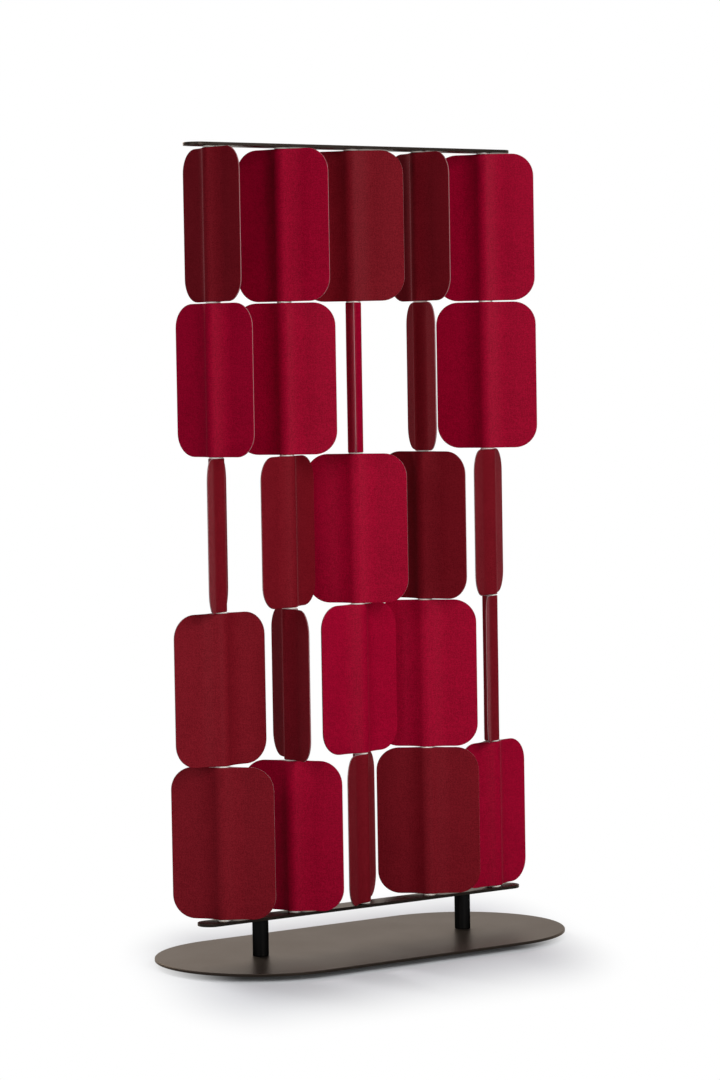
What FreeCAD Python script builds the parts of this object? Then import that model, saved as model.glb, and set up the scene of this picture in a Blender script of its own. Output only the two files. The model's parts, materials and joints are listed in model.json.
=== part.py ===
import FreeCAD, Part
import math
import os

# Free-standing acoustic room divider: a heavy steel base, two short posts, two flat rails and
# five rods between them, each rod carrying a stack of fabric panels that turn one by one.
# Millimetres. X runs along the rails, -Y is the front, Z is up. The origin is on the floor, mid base.

Vector = FreeCAD.Vector
UP = Vector(0, 0, 1)

# Panel stack
columns = 5
column_pitch = 187.0
panel_width = 234.0
panel_height = 335.0
panel_gap = 3.0
panel_corner = 52.0

# How far each panel is turned from the line of the rails, in degrees, seen from above.
# One tuple per row, top row first, left column first.
panel_turns = (
    (88, -65, -44, 89, -52),
    (-78, -52, 55, 69, -50),
    (47, 26, -50, -72, 37),
    (-1, 76, 9, -44, 48),
    (-49, -55, 40, -40, 13),
)
rows = len(panel_turns)

# Moulded felt shell: a flat back, flat wings and a soft ridge over the rod
shell_wall = 1.75
ridge_height = 17.5
ridge_radius = 26.0
ridge_blend = 75.0

# Rod and turning bushes
rod_diameter = 12.0
bush_flange_diameter = 32.0
bush_spigot_diameter = 22.0
bush_spigot_length = 16.0
bush_rod_clearance = 0.02
bush_running_clearance = 0.08
bush_end_play = 0.25

# Rails
rail_width = 58.0
rail_thickness = 7.0
rail_overhang = 66.0
rail_edge_break = 0.6

# Base, posts and glides
base_length = 1026.0
base_width = 494.0
base_thickness = 6.0
base_edge_break = 1.5
post_diameter = 36.0
post_height = 81.0
post_edge_break = 0.8
glide_diameter = 36.0
glide_height = 12.0
glide_edge_break = 1.0
glide_inset = 80.0

# Countersunk socket screws
rail_screw_diameter = 6.0
rail_screw_head = 12.0
rail_screw_length = 22.0
rail_screw_key = 4.0
post_screw_diameter = 8.0
post_screw_head = 15.5
post_screw_length = 26.0
post_screw_key = 5.0
screw_key_depth = 2.2
screw_point_break = 0.8
screw_hole_clearance = 0.2
screw_thread_clearance = 0.05
tapped_hole_spare = 4.0

# Heights that follow from the sizes above
base_bottom = glide_height
base_top = base_bottom + base_thickness
lower_rail_bottom = base_top + post_height
lower_rail_top = lower_rail_bottom + rail_thickness
row_pitch = panel_height + panel_gap
first_panel_bottom = lower_rail_top + panel_gap
upper_rail_bottom = lower_rail_top + rows * row_pitch + panel_gap
upper_rail_top = upper_rail_bottom + rail_thickness

# Places that follow from the sizes above
column_xs = [(index - (columns - 1) / 2) * column_pitch for index in range(columns)]
post_xs = [(column_xs[0] + column_xs[1]) / 2, (column_xs[-1] + column_xs[-2]) / 2]
rail_length = column_xs[-1] - column_xs[0] + 2 * rail_overhang


def polar(radius, angle, centre=(0.0, 0.0)):
    """A point at an angle, in radians, on a circle in the XY plane."""
    return Vector(centre[0] + radius * math.cos(angle), centre[1] + radius * math.sin(angle), 0)


def arc(centre, radius, start, end):
    """A circular edge in the XY plane from one angle to another."""
    middle = (start + end) / 2
    points = [polar(radius, angle, centre) for angle in (start, middle, end)]
    return Part.Arc(*points).toShape()


def line(start, end):
    """A straight edge between two points."""
    return Part.LineSegment(start, end).toShape()


def revolved(profile):
    """A solid of revolution about Z from (radius, height) points."""
    points = [Vector(radius, 0, height) for radius, height in profile]
    wire = Part.makePolygon(points + points[:1])
    return Part.Face(wire).revolve(Vector(), UP, 360)


def moved(shape, x=0.0, y=0.0, z=0.0):
    """A copy of the shape, shifted."""
    copy = shape.copy()
    copy.translate(Vector(x, y, z))
    return copy


def flipped(shape):
    """The same shape turned upside down about the X axis."""
    copy = shape.copy()
    copy.rotate(Vector(), Vector(1, 0, 0), 180)
    return copy


def stadium_plate(length, width, thickness):
    """A flat bar with round ends, lying on Z = 0."""
    end = width / 2
    reach = length / 2 - end
    quarter = math.pi / 2
    edges = [
        line(Vector(-reach, -end, 0), Vector(reach, -end, 0)),
        arc((reach, 0), end, -quarter, quarter),
        line(Vector(reach, end, 0), Vector(-reach, end, 0)),
        arc((-reach, 0), end, quarter, 3 * quarter),
    ]
    return Part.Face(Part.Wire(edges)).extrude(UP * thickness)


def rims(shape, heights, tolerance=0.001):
    """The edges that lie wholly at the given heights."""
    found = []
    for edge in shape.Edges:
        box = edge.BoundBox
        if any(abs(box.ZMin - height) + abs(box.ZMax - height) < tolerance for height in heights):
            found.append(edge)
    return found


def screw_head_height(diameter, head):
    """Depth of a 90 degree countersunk head."""
    return (head - diameter) / 2


def countersunk_screw(diameter, head, length, key):
    """A countersunk socket screw, head face on Z = 0, shank down."""
    sink = screw_head_height(diameter, head)
    radius = diameter / 2
    body = revolved([
        (0, 0),
        (head / 2, 0),
        (radius, -sink),
        (radius, screw_point_break - length),
        (radius - screw_point_break, -length),
        (0, -length),
    ])
    corners = [polar(key / math.sqrt(3), index * math.pi / 3) for index in range(6)]
    socket = Part.Face(Part.makePolygon(corners + corners[:1])).extrude(UP * -screw_key_depth)
    return body.cut(socket)


def countersunk_hole(diameter, head, plate):
    """The cutter for a countersunk clearance hole in a plate whose top is Z = 0."""
    wide = head / 2 + screw_hole_clearance
    narrow = diameter / 2 + screw_hole_clearance
    sink = screw_head_height(diameter, head)
    return revolved([
        (0, plate),
        (wide, plate),
        (wide, 0),
        (narrow, -sink),
        (narrow, -2 * plate),
        (0, -2 * plate),
    ])


def tapped_hole(diameter, length, plate):
    """The cutter for the threaded hole below a plate, its mouth on Z = 0."""
    depth = length - plate + tapped_hole_spare
    return Part.makeCylinder(diameter / 2 + screw_thread_clearance, depth, Vector(), UP * -1)


rail_screw = countersunk_screw(rail_screw_diameter, rail_screw_head, rail_screw_length, rail_screw_key)
rail_hole = countersunk_hole(rail_screw_diameter, rail_screw_head, rail_thickness)
post_screw = countersunk_screw(post_screw_diameter, post_screw_head, post_screw_length, post_screw_key)


def base_plate():
    """Stadium plate with a broken top edge and countersunk holes from below for the posts."""
    plate = stadium_plate(base_length, base_width, base_thickness)
    plate = plate.makeChamfer(base_edge_break, rims(plate, [base_thickness]))
    hole = flipped(countersunk_hole(post_screw_diameter, post_screw_head, base_thickness))
    for x in post_xs:
        plate = plate.cut(moved(hole, x))
    return moved(plate, z=base_bottom)


def base_glides():
    """Rubber discs under the plate: one near each round end and one at each end of the straights."""
    radius = glide_diameter / 2
    disc = revolved([
        (0, 0),
        (radius - glide_edge_break, 0),
        (radius, glide_edge_break),
        (radius, glide_height),
        (0, glide_height),
    ])
    straight = (base_length - base_width) / 2
    side = base_width / 2 - glide_inset
    tip = base_length / 2 - glide_inset
    spots = [(end * tip, 0) for end in (-1, 1)]
    spots += [(end * straight, edge * side) for end in (-1, 1) for edge in (-1, 1)]
    return Part.makeCompound([moved(disc, x, y) for x, y in spots])


def post(x):
    """Short turned post, tapped at both ends."""
    shaft = Part.makeCylinder(post_diameter / 2, post_height)
    shaft = shaft.makeChamfer(post_edge_break, rims(shaft, [0, post_height]))
    upper = tapped_hole(post_screw_diameter, post_screw_length, rail_thickness)
    lower = flipped(tapped_hole(post_screw_diameter, post_screw_length, base_thickness))
    shaft = shaft.cut(moved(upper, z=post_height)).cut(lower)
    return moved(shaft, x, 0, base_top)


def rail_bar():
    """Flat bar with round ends and broken edges, on Z = 0."""
    bar = stadium_plate(rail_length, rail_width, rail_thickness)
    return bar.makeChamfer(rail_edge_break, rims(bar, [0, rail_thickness]))


def upper_rail():
    """The rods are screwed on from above."""
    bar = rail_bar()
    for x in column_xs:
        bar = bar.cut(moved(rail_hole, x, 0, rail_thickness))
    return moved(bar, z=upper_rail_bottom)


def lower_rail():
    """The rods are screwed on from below, the posts from above."""
    bar = rail_bar()
    post_hole = countersunk_hole(post_screw_diameter, post_screw_head, rail_thickness)
    for x in column_xs:
        bar = bar.cut(moved(flipped(rail_hole), x))
    for x in post_xs:
        bar = bar.cut(moved(post_hole, x, 0, rail_thickness))
    return moved(bar, z=lower_rail_bottom)


def column_rods():
    """Round bars between the rails, tapped at both ends."""
    length = upper_rail_bottom - lower_rail_top
    rod = Part.makeCylinder(rod_diameter / 2, length)
    hole = tapped_hole(rail_screw_diameter, rail_screw_length, rail_thickness)
    rod = rod.cut(moved(hole, z=length)).cut(flipped(hole))
    return Part.makeCompound([moved(rod, x, 0, lower_rail_top) for x in column_xs])


def bush(flange_bottom, flange_top, spigot_bottom, spigot_top):
    """A turned bush on the rod: a thin flange with a spigot above, below or both."""
    bore = rod_diameter / 2 + bush_rod_clearance
    spigot = bush_spigot_diameter / 2
    flange = bush_flange_diameter / 2
    disc = Part.makeCylinder(flange, flange_top - flange_bottom, Vector(0, 0, flange_bottom))
    plug = Part.makeCylinder(spigot, spigot_top - spigot_bottom, Vector(0, 0, spigot_bottom))
    hole = Part.makeCylinder(bore, spigot_top - spigot_bottom, Vector(0, 0, spigot_bottom))
    return disc.fuse(plug).cut(hole).removeSplitter()


def pivot_bushes():
    """One bush below, between and above the panels of every column."""
    gap_bottoms = [lower_rail_top + level * row_pitch for level in range(rows + 1)]
    solids = []
    for level, bottom in enumerate(gap_bottoms):
        top = bottom + panel_gap
        at_lower_rail = level == 0
        at_upper_rail = level == rows
        flange_bottom = bottom if at_lower_rail else bottom + bush_end_play
        flange_top = top if at_upper_rail else top - bush_end_play
        spigot_bottom = bottom if at_lower_rail else bottom - bush_spigot_length
        spigot_top = top if at_upper_rail else top + bush_spigot_length
        turned = bush(flange_bottom, flange_top, spigot_bottom, spigot_top)
        solids += [moved(turned, x) for x in column_xs]
    return Part.makeCompound(solids)


def rail_screws():
    """One screw through each rail into each end of every rod."""
    upper = [moved(rail_screw, x, 0, upper_rail_top) for x in column_xs]
    lower = [moved(flipped(rail_screw), x, 0, lower_rail_bottom) for x in column_xs]
    return Part.makeCompound(upper + lower)


def post_screws():
    """One screw through the lower rail and one through the base into each post."""
    upper = [moved(post_screw, x, 0, lower_rail_top) for x in post_xs]
    lower = [moved(flipped(post_screw), x, 0, base_bottom) for x in post_xs]
    return Part.makeCompound(upper + lower)


def shell_section():
    """Plan of one shell: wings and a soft ridge towards +Y, a flat back and half the bore for the bushes."""
    half = panel_width / 2
    bore = bush_spigot_diameter / 2 + bush_running_clearance
    crest_y = ridge_height - ridge_radius
    blend_y = shell_wall + ridge_blend
    reach = ridge_radius + ridge_blend
    lean = math.asin((blend_y - crest_y) / reach)
    blend_x = reach * math.cos(lean)
    down = -math.pi / 2
    outside = [
        line(Vector(-half, 0, 0), Vector(-half, shell_wall, 0)),
        line(Vector(-half, shell_wall, 0), Vector(-blend_x, shell_wall, 0)),
        arc((-blend_x, blend_y), ridge_blend, down, -lean),
        arc((0, crest_y), ridge_radius, math.pi - lean, lean),
        arc((blend_x, blend_y), ridge_blend, lean - math.pi, down),
        line(Vector(blend_x, shell_wall, 0), Vector(half, shell_wall, 0)),
        line(Vector(half, shell_wall, 0), Vector(half, 0, 0)),
    ]
    back = [
        line(Vector(half, 0, 0), Vector(bore, 0, 0)),
        arc((0, 0), bore, 0, math.pi),
        line(Vector(-bore, 0, 0), Vector(-half, 0, 0)),
    ]
    return Part.Face(Part.Wire(outside + back))


def panel_outline():
    """The panel's face: a tall rectangle with large round corners, as a block through the ridge."""
    across = panel_width / 2 - panel_corner
    low = panel_corner
    high = panel_height - panel_corner
    quarter = math.pi / 2
    half = panel_width / 2
    edges = [
        line(Vector(-across, 0, 0), Vector(across, 0, 0)),
        arc((across, low), panel_corner, -quarter, 0),
        line(Vector(half, low, 0), Vector(half, high, 0)),
        arc((across, high), panel_corner, 0, quarter),
        line(Vector(across, panel_height, 0), Vector(-across, panel_height, 0)),
        arc((-across, high), panel_corner, quarter, 2 * quarter),
        line(Vector(-half, high, 0), Vector(-half, low, 0)),
        arc((-across, low), panel_corner, 2 * quarter, 3 * quarter),
    ]
    reach = 2 * ridge_height
    block = Part.Face(Part.Wire(edges)).extrude(UP * (2 * reach))
    block.rotate(Vector(), Vector(1, 0, 0), 90)
    return moved(block, y=reach)


def panel_shell():
    """One moulded shell, standing on Z = 0 with the rod's axis on Z and its ridge towards +Y."""
    return shell_section().extrude(UP * panel_height).common(panel_outline())


def placed_shell(shell, row, column, turn):
    """A shell turned about its rod and lifted to its row, counted from the top."""
    copy = shell.copy()
    copy.rotate(Vector(), UP, turn)
    lift = first_panel_bottom + (rows - row) * row_pitch
    return moved(copy, column_xs[column - 1], 0, lift)


nodes = {
    "base_plate": base_plate(),
    "base_glides": base_glides(),
    "post_left": post(post_xs[0]),
    "post_right": post(post_xs[1]),
    "lower_rail": lower_rail(),
    "upper_rail": upper_rail(),
    "column_rods": column_rods(),
    "pivot_bushes": pivot_bushes(),
    "rail_screws": rail_screws(),
    "post_screws": post_screws(),
}

# Every panel is two like shells, back to back round the rod
shell = panel_shell()
for row, turns in enumerate(panel_turns, 1):
    for column, turn in enumerate(turns, 1):
        nodes[f"back_shell_r{row}_c{column}"] = placed_shell(shell, row, column, turn)
        nodes[f"front_shell_r{row}_c{column}"] = placed_shell(shell, row, column, turn + 180)

os.makedirs("parts", exist_ok=True)
for name, shape in nodes.items():
    shape.exportStep(f"parts/{name}.step")
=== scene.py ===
import json
import math

import bpy
import numpy as np
from mathutils import Matrix, Vector


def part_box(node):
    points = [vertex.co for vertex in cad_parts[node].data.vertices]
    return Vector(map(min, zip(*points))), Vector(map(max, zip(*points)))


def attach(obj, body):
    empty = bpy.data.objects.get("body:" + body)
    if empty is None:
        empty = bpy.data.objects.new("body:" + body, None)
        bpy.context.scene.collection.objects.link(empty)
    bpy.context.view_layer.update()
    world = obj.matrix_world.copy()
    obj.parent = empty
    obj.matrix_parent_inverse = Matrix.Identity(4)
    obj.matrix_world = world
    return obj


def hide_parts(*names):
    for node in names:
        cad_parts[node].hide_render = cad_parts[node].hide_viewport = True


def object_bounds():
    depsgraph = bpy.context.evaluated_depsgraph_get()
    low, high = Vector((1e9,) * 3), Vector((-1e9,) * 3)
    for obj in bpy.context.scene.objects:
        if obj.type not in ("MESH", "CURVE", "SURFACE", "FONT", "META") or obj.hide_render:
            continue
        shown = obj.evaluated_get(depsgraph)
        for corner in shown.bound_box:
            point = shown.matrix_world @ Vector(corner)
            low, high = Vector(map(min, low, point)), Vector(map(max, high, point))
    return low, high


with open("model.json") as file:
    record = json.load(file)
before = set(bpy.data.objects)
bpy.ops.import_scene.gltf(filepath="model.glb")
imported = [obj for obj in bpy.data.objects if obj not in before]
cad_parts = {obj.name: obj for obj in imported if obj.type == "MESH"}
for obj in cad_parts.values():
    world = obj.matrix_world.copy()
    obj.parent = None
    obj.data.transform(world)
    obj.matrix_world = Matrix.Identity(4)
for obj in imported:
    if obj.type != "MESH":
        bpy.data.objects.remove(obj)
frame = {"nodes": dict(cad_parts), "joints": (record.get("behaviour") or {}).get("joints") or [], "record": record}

cad_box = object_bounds()
scene = bpy.context.scene


# Base plate: a heavy steel plate with round ends that keeps the tall screen from tipping.
# It is cut from sheet, its top edge is broken and it is powder coated in dark bronze.
# Two countersunk screws from below hold the posts.

bronze = (0.020, 0.015, 0.012)
bronze_glance = (0.90, 0.80, 0.72)
base_roughness = 0.40
peel_scale = 900
speck_scale = 3200
cloud_scale = 6
coat_contrast = 0.4
coat_relief = 0.00010


def rgba(colour):
    """A colour with no transparency, as a socket takes it."""
    return (*colour, 1.0)


class Signal:
    """One output of a material's nodes. Arithmetic on it adds Math nodes, add() any other node."""

    def __init__(self, socket):
        self.socket = socket

    def add(self, kind, settings=None, inputs=None, output=0):
        """A new node in the same material: settings first, then the sockets' values or links."""
        tree = self.socket.id_data
        node = tree.nodes.new(kind)
        for name, value in (settings or {}).items():
            setattr(node, name, value)
        for name, value in (inputs or {}).items():
            if isinstance(value, Signal):
                tree.links.new(value.socket, node.inputs[name])
            else:
                node.inputs[name].default_value = value
        return Signal(node.outputs[output]) if node.outputs else None

    def maths(self, operation, other=0.0, reflected=False):
        """A Math node on this value and another, which comes first where reflected."""
        first, second = (other, self) if reflected else (self, other)
        return self.add("ShaderNodeMath", {"operation": operation}, {0: first, 1: second})

    def __add__(self, other):
        return self.maths("ADD", other)

    def __radd__(self, other):
        return self.maths("ADD", other, reflected=True)

    def __sub__(self, other):
        return self.maths("SUBTRACT", other)

    def __rsub__(self, other):
        return self.maths("SUBTRACT", other, reflected=True)

    def __mul__(self, other):
        return self.maths("MULTIPLY", other)

    def __rmul__(self, other):
        return self.maths("MULTIPLY", other, reflected=True)

    def __truediv__(self, other):
        return self.maths("DIVIDE", other)

    def __rtruediv__(self, other):
        return self.maths("DIVIDE", other, reflected=True)

    def along(self, axis):
        """One of three coordinates, by its letter."""
        return self.add("ShaderNodeSeparateXYZ", {}, {0: self}, output=axis)

    def stretched(self, factors):
        """The same coordinates, multiplied along each axis."""
        return self.add("ShaderNodeVectorMath", {"operation": "MULTIPLY"}, {0: self, 1: factors})

    def noise(self, scale=1, detail=2.0, roughness=0.5):
        """Soft cloudy noise, about 0 to 1, with lumps of one over the scale."""
        return self.add("ShaderNodeTexNoise", {}, {
            "Vector": self, "Scale": scale, "Detail": detail, "Roughness": roughness})

    def between(self, first, second):
        """A colour between two others, by this value from 0 to 1. Sockets 6 and 7 take the colours."""
        settings = {"data_type": "RGBA", "clamp_factor": True}
        return self.add("ShaderNodeMix", settings, {0: self, 6: rgba(first), 7: rgba(second)}, output=2)

    def bumped(self, metres):
        """A normal from a height that runs from 0 to 1, the given distance deep."""
        return self.add("ShaderNodeBump", {}, {"Height": self, "Distance": metres, "Strength": 1.0})


def new_material(name):
    """An empty material, and its place in metres to start the nodes from."""
    material = bpy.data.materials.new(name)
    material.use_nodes = True
    material.node_tree.nodes.clear()
    start = material.node_tree.nodes.new("ShaderNodeTexCoord")
    return material, Signal(start.outputs["Object"])


def surface(place, inputs):
    """Ends a material in one Principled surface."""
    shader = place.add("ShaderNodeBsdfPrincipled", {}, inputs)
    place.add("ShaderNodeOutputMaterial", {}, {"Surface": shader})


def powder_coat(name, colour, glance, roughness):
    """Cured metallic powder: dark face on, paler at a glance, with fine orange peel and tiny specks.

    The specks and slow clouds take the colour up and down by the coat's contrast.
    """
    material, place = new_material(name)
    peel = place.noise(peel_scale, detail=3)
    speck = place.noise(speck_scale, detail=1)
    cloud = place.noise(cloud_scale, detail=3)
    tone = 0.55 * speck + 0.45 * cloud
    dark = [(1 - coat_contrast) * part for part in colour]
    light = [(1 + coat_contrast) * part for part in colour]
    relief = 0.7 * peel + 0.3 * speck
    surface(place, {
        "Base Color": tone.between(dark, light),
        "Metallic": 0.88 + 0.12 * speck,
        "Roughness": roughness + 0.10 * (cloud - 0.5),
        "Normal": relief.bumped(coat_relief),
        "Specular Tint": rgba(glance),
    })
    return material


def coat(material, *nodes):
    """Gives CAD pieces their finish."""
    for name in nodes:
        slots = frame["nodes"][name].data.materials
        slots.clear()
        slots.append(material)


coat(powder_coat("base_bronze", bronze, bronze_glance, base_roughness), "base_plate")


# Glides: six black rubber discs that hold the plate off the floor.
# They are moulded and glued under it, far enough in from the edge that they don't show.

rubber_dark = (0.010, 0.010, 0.010)
rubber_light = (0.026, 0.025, 0.024)
rubber_scale = 1500
rubber_relief = 0.0001


def matt_rubber():
    """Moulded rubber: dull black with a fine dusty grain."""
    material, place = new_material("glide_rubber")
    grain = place.noise(rubber_scale)
    surface(place, {
        "Base Color": grain.between(rubber_dark, rubber_light),
        "Roughness": 0.75 + 0.15 * grain,
        "Normal": grain.bumped(rubber_relief),
    })
    return material


coat(matt_rubber(), "base_glides")


# Posts: two short turned steel bars between the base and the lower rail, coated satin black.
# A screw at each end pulls the plate and the rail against them.

post_black = (0.006, 0.006, 0.006)
post_glance = (0.30, 0.30, 0.30)
post_roughness = 0.34
coat(powder_coat("post_black", post_black, post_glance, post_roughness), "post_left", "post_right")


# Rails: two flat steel bars with round ends that hold the rods top and bottom.
# They have the base's bronze coat, a little darker, and countersunk holes for the screws.

rail_bronze = (0.014, 0.0105, 0.0085)
rail_roughness = 0.38
coat(powder_coat("rail_bronze", rail_bronze, bronze_glance, rail_roughness), "lower_rail", "upper_rail")


# Screws: countersunk socket screws of blackened steel, five in the upper rail, seven in the
# lower one and two under the base. They pull the rods and posts tight.

oxide_dark = (0.018, 0.018, 0.020)
oxide_light = (0.050, 0.048, 0.048)
oxide_scale = 500
oxide_relief = 0.00003


def black_oxide():
    """Blackened steel: a thin dark oxide, a little uneven, over the metal."""
    material, place = new_material("screw_black")
    blotch = place.noise(oxide_scale, detail=3)
    surface(place, {
        "Base Color": blotch.between(oxide_dark, oxide_light),
        "Metallic": 0.75 + 0.25 * blotch,
        "Roughness": 0.32 + 0.18 * blotch,
        "Normal": blotch.bumped(oxide_relief),
    })
    return material


coat(black_oxide(), "rail_screws", "post_screws")


# Rods: five bright drawn steel bars from rail to rail, one through each column of panels.
# They are tapped at both ends for the rail screws, and the panels hide them.

steel_dark = (0.46, 0.46, 0.47)
steel_light = (0.62, 0.62, 0.62)
scratch_scales = (3000, 3000, 30)
scratch_relief = 0.00002


def drawn_steel():
    """Bright bar: fine scratches along its length."""
    material, place = new_material("rod_steel")
    scratch = place.stretched(scratch_scales).noise()
    surface(place, {
        "Base Color": scratch.between(steel_dark, steel_light),
        "Metallic": 1.0,
        "Roughness": 0.24 + 0.18 * scratch,
        "Normal": scratch.bumped(scratch_relief),
    })
    return material


coat(drawn_steel(), "column_rods")


# Bushes: thirty turned nylon bushes on the rods. Their thin flanges space the panels apart and
# show as pale lines in the gaps, and the panels turn on their spigots.

nylon_dark = (0.70, 0.66, 0.60)
nylon_light = (0.84, 0.81, 0.76)
milky_scale = 120
turning_scales = (60, 60, 9000)
turning_relief = 0.00002
nylon_glow = (0.003, 0.002, 0.0015)


def turned_nylon():
    """Natural nylon: off-white and waxy, with fine turning marks round the rod."""
    material, place = new_material("bush_nylon")
    marks = place.stretched(turning_scales).noise(detail=1)
    milky = place.noise(milky_scale)
    surface(place, {
        "Base Color": milky.between(nylon_dark, nylon_light),
        "Roughness": 0.40 + 0.15 * marks,
        "Normal": marks.bumped(turning_relief),
        "Subsurface Weight": 0.1,
        "Subsurface Radius": nylon_glow,
        "Subsurface Scale": 1.0,
    })
    return material


coat(turned_nylon(), "pivot_bushes")


# Panel shells: felt boards pressed to shape, two to a panel, back to back round the rod.
# The flat wings swell into a soft ridge over the rod. Wool cloth is bonded to the outside, and
# the knife-cut edge shows the felt, a dusty rose.

panel_width = 0.234
panel_height = 0.335
panel_corner = 0.052
shell_wall = 0.00175
ridge_height = 0.0175
ridge_radius = 0.026
ridge_blend = 0.075
bore_radius = 0.011
cloth_roll = 0.0010
cloth_margin = 0.0009
cloth_wave = 0.00025
back_inset = 0.0003

crest_centre = ridge_height - ridge_radius
blend_centre = shell_wall + ridge_blend
blend_lean = math.asin((blend_centre - crest_centre) / (ridge_radius + ridge_blend))
blend_reach = (ridge_radius + ridge_blend) * math.cos(blend_lean)
face_inset = cloth_roll + cloth_margin


def shell_section(wing_steps=13, blend_steps=8, crest_steps=16):
    """Outer line of a shell in plan, left to right, with its outward normals.

    A straight wing, an arc that curves up about a centre outside the shell, a crest about a centre
    inside it, and the same again in reverse. Each point is a centre plus a radius along its angle.
    """
    angle = np.linspace(-math.pi / 2, -blend_lean, blend_steps + 1)
    fillet = np.stack([np.cos(angle), np.sin(angle)], 1)
    left_blend = np.array([-blend_reach, blend_centre]) + ridge_blend * fillet
    angle = np.linspace(math.pi - blend_lean, blend_lean, crest_steps + 1)
    crest = np.stack([np.cos(angle), np.sin(angle)], 1)
    top = np.array([0.0, crest_centre]) + ridge_radius * crest
    x = np.linspace(-panel_width / 2, -blend_reach, wing_steps + 1)
    wing = np.stack([x, np.full_like(x, shell_wall)], 1)
    flat = np.tile([0.0, 1.0], (len(x), 1))
    mirror = np.array([-1.0, 1.0])
    half_points = np.concatenate([wing[:-1], left_blend[:-1]])
    half_normals = np.concatenate([flat[:-1], -fillet[:-1]])
    points = np.concatenate([half_points, top, half_points[::-1] * mirror])
    normals = np.concatenate([half_normals, crest, half_normals[::-1] * mirror])
    return points, normals


def shell_rows(inset, corner_steps=11, side_steps=26):
    """Heights of the rows of the panel's face, and its half width at each.

    The outline is a rectangle with round corners, drawn in by the inset: a quarter circle
    at the bottom, a straight side and a quarter circle at the top.
    """
    corner = panel_corner - inset
    angle = np.linspace(-math.pi / 2, 0, corner_steps + 1)
    curve = corner * np.cos(angle) + panel_width / 2 - panel_corner
    low = panel_corner + corner * np.sin(angle)
    side = np.linspace(panel_corner, panel_height - panel_corner, side_steps + 1)[1:-1]
    heights = np.concatenate([low, side, panel_height - low[::-1]])
    widths = np.concatenate([curve, np.full_like(side, panel_width / 2 - inset), curve[::-1]])
    return heights, widths


section_points, section_normals = shell_section()
section_length = np.concatenate([[0], np.cumsum(np.hypot(*np.diff(section_points, axis=0).T))])
section_length -= section_length[-1] / 2


def shell_points(inset, depth):
    """A layer of the shell: points over the face, the inset in from its edge, the depth below its cloth.

    Across is the section, whose wings are drawn in to the half width of each row. Up is the row.
    Every point then moves in along the section's normal by the depth.
    """
    heights, widths = shell_rows(inset)
    across = section_points[:, 0]
    past_ridge = np.maximum(np.abs(across) - blend_reach, 0)
    share = (widths - blend_reach) / (panel_width / 2 - blend_reach)
    drawn_in = np.sign(across) * past_ridge * (1 - share[:, None])
    x = across - drawn_in - depth * section_normals[:, 0]
    y = section_points[:, 1] - depth * section_normals[:, 1]
    z = np.broadcast_to(heights[:, None], drawn_in.shape)
    return np.stack([x, np.broadcast_to(y, drawn_in.shape), z], -1)


def board_back():
    """The back of the board: flat on the panel's middle plane, with half the bushes' bore at the rod.

    Where a point lies within the bore's radius across, it stands on the bore's circle.
    """
    points = shell_points(back_inset, 0)
    across = points[..., 0]
    points[..., 1] = np.sqrt(np.maximum(bore_radius ** 2 - across ** 2, 0))
    return points


def cloth_place(inset):
    """The cloth's own flat place at each point of a layer: along the section, up, and in from the edge."""
    points = shell_points(inset, 0)
    along = section_length + points[..., 0] - section_points[:, 0]
    return np.stack([along, points[..., 2], np.full_like(along, inset)], -1)


def rolled_edge(steps=5):
    """Insets and depths over the cloth's edge: a quarter circle from the flat of the face to its rim."""
    angles = np.linspace(0, math.pi / 2, steps + 1)
    return [(cloth_roll * (1 - math.sin(a)), cloth_roll * (1 - math.cos(a))) for a in angles]


cloth_edge = rolled_edge()
felt_edge = [(0.0, shell_wall - back_inset)]
edge_profile = cloth_edge + felt_edge

grid_shape = shell_points(0, 0).shape[:2]
grid = np.arange(grid_shape[0] * grid_shape[1]).reshape(grid_shape)
rim = np.concatenate([grid[0, :-1], grid[:-1, -1], grid[-1, :0:-1], grid[:0:-1, 0]])


def whole_shell(face, edges, back):
    """A shell's points in the order of its quads: the face, the rim of each layer of its edge, the back."""
    rims = [layer.reshape(-1, 3)[rim] for layer in edges]
    return np.concatenate([face.reshape(-1, 3)] + rims + [back.reshape(-1, 3)])


def shell_faces():
    """Quads of a shell, and their material: 0 for cloth, 1 for felt.

    The face is a grid, and so is the back, turned round. Strips along the rim join each layer of the
    edge to the next.
    """
    a, b, c, d = grid[:-1, :-1], grid[1:, :-1], grid[1:, 1:], grid[:-1, 1:]
    back_start = grid.size + len(edge_profile) * len(rim)
    front = np.stack([a, b, c, d], -1).reshape(-1, 4)
    back = np.stack([a, d, c, b], -1).reshape(-1, 4) + back_start
    loops = [rim]
    loops += [grid.size + index * len(rim) + np.arange(len(rim)) for index in range(len(edge_profile))]
    loops += [rim + back_start]
    strips = []
    for upper, lower in zip(loops[:-1], loops[1:]):
        strips.append(np.stack([upper, np.roll(upper, -1), np.roll(lower, -1), lower], -1))
    cloth = [front] + strips[:len(cloth_edge)]
    felt = strips[len(cloth_edge):] + [back]
    kinds = np.repeat([0, 1], [sum(map(len, cloth)), sum(map(len, felt))])
    return np.concatenate(cloth + felt), kinds


quads, quad_kinds = shell_faces()
edge_places = [cloth_place(inset) for inset, depth in edge_profile]
cloth_places = whole_shell(cloth_place(face_inset), edge_places, cloth_place(back_inset))


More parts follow.
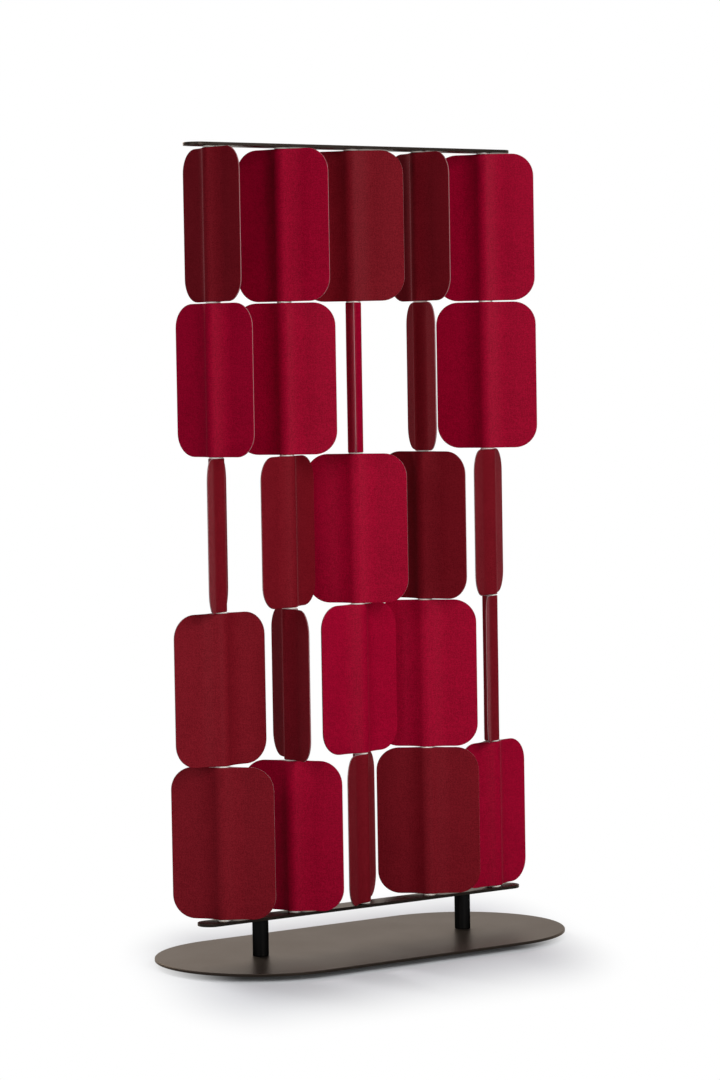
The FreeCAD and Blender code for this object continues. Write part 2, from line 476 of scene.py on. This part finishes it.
def soft_waves(seed, count=3, most_pull=45):
    """Faint unevenness of the bonded cloth: a sum of slow sine waves over the face, none at its sides.

    Each wave's angle is its own start, plus one pull times the way across, plus another times the way up.
    """
    draw = np.random.default_rng(seed)
    start = draw.uniform(0, 2 * math.pi, (count, 1, 1))
    pull = draw.uniform(-most_pull, most_pull, (2, count, 1, 1))
    place = cloth_place(face_inset)
    waves = np.sin(pull[0] * place[..., 0] + pull[1] * place[..., 1] + start)
    from_edge = 1 - (2 * np.abs(place[..., 0]) / panel_width) ** 4
    return cloth_wave / count * waves.sum(0) * np.clip(from_edge, 0, 1)


def shell_mesh(name, seed, rod, ridge_way, bottom):
    """One shell, turned so that its ridge points along ridge_way from the rod, standing at bottom.

    A point's plan is the rod, plus its way across along the panel, plus its way out along ridge_way.
    """
    face = shell_points(face_inset, 0.0)
    face[..., 1] += soft_waves(seed)
    edges = [shell_points(inset, depth) for inset, depth in edge_profile]
    local = whole_shell(face, edges, board_back())
    side_way = np.array([ridge_way[1], -ridge_way[0]])
    plan = rod + local[:, :1] * side_way + local[:, 1:2] * ridge_way
    points = np.column_stack([plan, local[:, 2] + bottom])
    mesh = bpy.data.meshes.new(name)
    mesh.from_pydata(points, [], quads)
    mesh.polygons.foreach_set("material_index", quad_kinds)
    mesh.shade_smooth()
    cloth = mesh.attributes.new("cloth", "FLOAT_VECTOR", "POINT")
    cloth.data.foreach_set("vector", cloth_places.astype(np.float32).ravel())
    mesh.update()
    return mesh


def ridge_direction(node, rod):
    """Plan direction from the rod to the ridge of a CAD shell: towards the middle of its surface."""
    mesh = frame["nodes"][node].data
    areas = np.empty(len(mesh.polygons), np.float32)
    centres = np.empty(3 * len(mesh.polygons), np.float32)
    mesh.polygons.foreach_get("area", areas)
    mesh.polygons.foreach_get("center", centres)
    middle = areas @ centres.reshape(-1, 3) / areas.sum()
    way = middle[:2] - rod
    return way / np.linalg.norm(way)


cloth_colours = {
    "felt_crimson": {
        "dark": (0.174, 0.0002, 0.0115), "light": (0.318, 0.0018, 0.0234), "bloom": (1.0, 0.50, 0.54)},
    "felt_burgundy": {
        "dark": (0.101, 0.0024, 0.0060), "light": (0.169, 0.0070, 0.0132), "bloom": (1.0, 0.52, 0.54)},
}
thread_pitch = 0.0013
slub_threads = 20
fibre_scale = 1800
melange_scale = 400
dye_scale = 14
weave_relief = 0.00022
gloss_grey = (0.9, 0.9, 0.9)
gloss_roughness = 0.45
gloss_share = 0.0030


def wool_cloth(slot, dark, light, bloom):
    """Fine plain weave in mixed yarns, with a soft nap and a trace of gloss on the threads.

    The weave is a sine wave across times one along, with a half wave to each thread. The tone is the
    middle one plus each pattern's way from its own middle, times a share.
    """
    material, place = new_material(slot)
    cloth = place.add("ShaderNodeAttribute", {"attribute_name": "cloth"}, {}, output="Vector")
    threads = cloth.stretched((1 / thread_pitch,) * 3)
    warp = (threads.along("X") * math.pi).maths("SINE")
    weft = (threads.along("Y") * math.pi).maths("SINE")
    weave = 0.5 + 0.5 * (warp * weft)
    warp_slub = threads.stretched((1, 1 / slub_threads, 1)).noise(detail=1)
    weft_slub = threads.stretched((1 / slub_threads, 1, 1)).noise(detail=1)
    fibre = cloth.noise(fibre_scale)
    melange = cloth.noise(melange_scale, roughness=0.6)
    dye = cloth.noise(dye_scale)
    tone = 0.5 + 0.55 * (warp_slub - 0.5) + 0.55 * (weft_slub - 0.5) + 2.8 * (melange - 0.5)
    tone = tone + 0.5 * (fibre - 0.5) + 0.25 * (weave - 0.5) + 0.35 * (dye - 0.5)
    relief = (0.6 * weave + 0.4 * fibre).bumped(weave_relief)
    wool = place.add("ShaderNodeBsdfPrincipled", {}, {
        "Base Color": tone.between(dark, light),
        "Roughness": 0.82 + 0.12 * fibre,
        "Normal": relief,
        "Specular IOR Level": 0.0,
        "Sheen Weight": 0.30,
        "Sheen Roughness": 0.2,
        "Sheen Tint": rgba(bloom),
    })
    gloss = place.add("ShaderNodeBsdfPrincipled", {}, {
        "Base Color": rgba(gloss_grey),
        "Metallic": 1.0,
        "Roughness": gloss_roughness,
        "Normal": relief,
    })
    both = place.add("ShaderNodeMixShader", {}, {0: gloss_share, 1: wool, 2: gloss})
    place.add("ShaderNodeOutputMaterial", {}, {"Surface": both})
    return material


felt_dark = (0.10, 0.050, 0.051)
felt_light = (0.38, 0.215, 0.22)
felt_scale = 1400
felt_lay_scales = (400, 400, 2500)
felt_relief = 0.0003


def felt_core():
    """Pressed felt, cut with a knife: matted fibres in light and dark dusty rose."""
    material, place = new_material("felt_core")
    fibre = place.noise(felt_scale, detail=4, roughness=0.7)
    lay = place.stretched(felt_lay_scales).noise()
    tone = 0.6 * fibre + 0.4 * lay
    surface(place, {
        "Base Color": tone.between(felt_dark, felt_light),
        "Roughness": 0.9 + 0.08 * fibre,
        "Normal": tone.bumped(felt_relief),
        "Specular IOR Level": 0.2,
        "Sheen Weight": 0.3,
        "Sheen Roughness": 0.4,
    })
    return material


cloths = {slot: wool_cloth(slot, **colours) for slot, colours in cloth_colours.items()}
core = felt_core()
slot_of = {part["node"]: part["material_slot"] for part in frame["record"]["subparts"]}

for order, joint in enumerate(frame["joints"]):
    body = joint["child"]
    rod = np.array(joint["pos_m"][:2])
    for half, side in enumerate(("front", "back")):
        node = body.replace("panel", f"{side}_shell")
        name = body.replace("panel", f"{side}_cloth")
        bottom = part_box(node)[0].z
        mesh = shell_mesh(name, 2 * order + half, rod, ridge_direction(node, rod), bottom)
        mesh.materials.append(cloths[slot_of[node]])
        mesh.materials.append(core)
        shell = bpy.data.objects.new(name, mesh)
        scene.collection.objects.link(shell)
        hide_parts(node)
        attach(shell, body)


# Floor: a plain pale sweep of paper under the screen.
# Its soft shade round the base is painted, over the lamps' real shadow, and it runs out to white.

floor_radius = 6.0
# Dull bluish grey paper: inside the box it paints most of the shade round the base.
painted_shade_paper = (0.565, 0.577, 0.600)
plain_white = (1.0, 1.0, 1.0)
# Where the painted shade lies: its lean, its shift forward, its half sizes and its fading widths.
shade_lean = 0.45
shade_forward = 0.05
shade_half = (0.35, 0.20)
shade_fade = (0.28, 0.52)
# Painted light: the least white share, which lifts the dark under the plate.
shade_lift = 0.025


def floor_disc(rings=24, spokes=96):
    """A flat disc: rings that widen outwards by the square of their number, each a full circle."""
    radius = floor_radius * np.linspace(0, 1, rings + 1)[1:, None] ** 2
    angle = np.linspace(0, 2 * math.pi, spokes, endpoint=False)
    x = radius * np.cos(angle)
    y = radius * np.sin(angle)
    points = np.column_stack([x.ravel(), y.ravel(), np.zeros(x.size)])
    order = np.arange(x.size).reshape(rings, spokes)
    inner, outer = order[:-1], order[1:]
    ring_quads = np.stack([inner, outer, np.roll(outer, -1, 1), np.roll(inner, -1, 1)], -1).reshape(-1, 4)
    mesh = bpy.data.meshes.new("floor")
    mesh.from_pydata(points, [], ring_quads.tolist() + [order[0].tolist()])
    return mesh


def floor_white():
    """Pale paper in a soft box-shaped painted shade round the base, and plain white to the camera further out.

    The box is painted shade that leans with the light, and in it the paper's dull colour darkens the
    lamps' real shadow. The way out of it is measured in its fading widths, along both axes, and the
    paper's share falls smoothly from nearly all at the box to none one width out. A little white stays
    even at the box, a painted lift of light into the dark under the plate.
    """
    material, place = new_material("floor_white")
    x, y = place.along("X"), place.along("Y")
    across = (x - shade_lean * y).maths("ABSOLUTE")
    along = (y + shade_forward).maths("ABSOLUTE")
    out_x = (across - shade_half[0]).maths("MAXIMUM") / shade_fade[0]
    out_y = (along - shade_half[1]).maths("MAXIMUM") / shade_fade[1]
    way_out = (out_x * out_x + out_y * out_y).maths("SQRT")
    away = place.add("ShaderNodeMapRange", {"interpolation_type": "SMOOTHSTEP"}, {
        "Value": way_out, "To Min": shade_lift})
    paper = place.add("ShaderNodeBsdfDiffuse", {}, {"Color": rgba(painted_shade_paper)})
    white = place.add("ShaderNodeEmission", {}, {"Color": rgba(plain_white), "Strength": 1.0})
    seen = place.add("ShaderNodeLightPath", {}, {}, output="Is Camera Ray")
    mirrored = place.add("ShaderNodeLightPath", {}, {}, output="Is Glossy Ray")
    shown = seen.maths("MAXIMUM", mirrored)
    blend = place.add("ShaderNodeMixShader", {}, {0: away * shown, 1: paper, 2: white})
    place.add("ShaderNodeOutputMaterial", {}, {"Surface": blend})
    return material


floor = bpy.data.objects.new("floor", floor_disc())
floor.data.materials.append(floor_white())
scene.collection.objects.link(floor)


# Studio light: a white room with five soft boxes in a ring and one overhead, all facing the screen.
# A bearing is in degrees from the front, to the right. The far box would glint along the plate's
# rim, so reflections leave it out.

room_light = 0.04
box_width = 1.3
soft_boxes = {
    "left": {"bearing": -65, "away": 3.0, "height": 1.5, "tall": 1.8, "watts": 31},
    "front": {"bearing": -5, "away": 4.5, "height": 2.3, "tall": 3.0, "watts": 143},
    "right": {"bearing": 25, "away": 4.5, "height": 3.2, "tall": 1.8, "watts": 70},
    "far": {"bearing": 120, "away": 4.5, "height": 0.9, "tall": 1.8, "watts": 172, "mirrored": False},
    "back": {"bearing": 180, "away": 4.5, "height": 3.2, "tall": 1.8, "watts": 190},
}
overhead_place = (0.0, 0.0, 4.2)
overhead_size = (2.6, 2.6)
overhead_watts = 55
screen_middle = (cad_box[0] + cad_box[1]) / 2


def white_room():
    """White to the camera, to reflections and through glass, and an even low light elsewhere."""
    world = bpy.data.worlds.new("white_room")
    world.use_nodes = True
    world.node_tree.nodes.clear()
    seen = Signal(world.node_tree.nodes.new("ShaderNodeLightPath").outputs["Is Camera Ray"])
    mirrored = seen.add("ShaderNodeLightPath", {}, {}, output="Is Glossy Ray")
    through = seen.add("ShaderNodeLightPath", {}, {}, output="Is Transmission Ray")
    shown = seen.maths("MAXIMUM", mirrored.maths("MAXIMUM", through))
    light = seen.add("ShaderNodeBackground", {}, {
        "Color": rgba(plain_white), "Strength": room_light + (1 - room_light) * shown})
    seen.add("ShaderNodeOutputWorld", {}, {"Surface": light})
    return world


def soft_box(name, place, size, watts, mirrored=True):
    """A rectangular lamp at a place, turned to face the middle of the screen."""
    lamp = bpy.data.lights.new(name, "AREA")
    lamp.shape = "RECTANGLE"
    lamp.size, lamp.size_y = size
    lamp.energy = watts
    box = bpy.data.objects.new(name, lamp)
    facing = (screen_middle - Vector(place)).to_track_quat("-Z", "Y")
    box.matrix_world = Matrix.Translation(place) @ facing.to_matrix().to_4x4()
    box.visible_glossy = mirrored
    scene.collection.objects.link(box)


def ring_box(name, bearing, away, height, tall, watts, mirrored=True):
    """A soft box on the ring: its distance along its bearing, at its height."""
    angle = math.radians(bearing)
    place = (away * math.sin(angle), -away * math.cos(angle), height)
    soft_box(name, place, (box_width, tall), watts, mirrored)


scene.world = white_room()
for name, settings in soft_boxes.items():
    ring_box(name, **settings)
soft_box("overhead", overhead_place, overhead_size, overhead_watts)


# Camera: the photograph's place and lens, a short telephoto at chest height.
# The focal length is in pixels of the photograph, whose longer side spans the sensor.

image_height = 1080
focal_pixels = 3482.4
sensor_millimetres = 36
camera_place = (-4.5414, -6.3549, 1.3269)
yaw, pitch, roll = 0.6213, -0.0513, -0.0166
furthest_seen = 100

look = Vector((math.sin(yaw) * math.cos(pitch), math.cos(yaw) * math.cos(pitch), math.sin(pitch)))
level = Vector((math.cos(yaw), -math.sin(yaw), 0))
right = level * math.cos(roll) + level.cross(look) * math.sin(roll)
up = right.cross(look)
lens = bpy.data.cameras.new("camera")
lens.sensor_width = sensor_millimetres
lens.lens = sensor_millimetres * focal_pixels / image_height
lens.clip_end = furthest_seen
camera = bpy.data.objects.new("camera", lens)
turned = Matrix((right, up, -look)).transposed().to_4x4()
camera.matrix_world = Matrix.Translation(camera_place) @ turned
scene.collection.objects.link(camera)
scene.camera = camera
scene.view_settings.view_transform = "Standard"
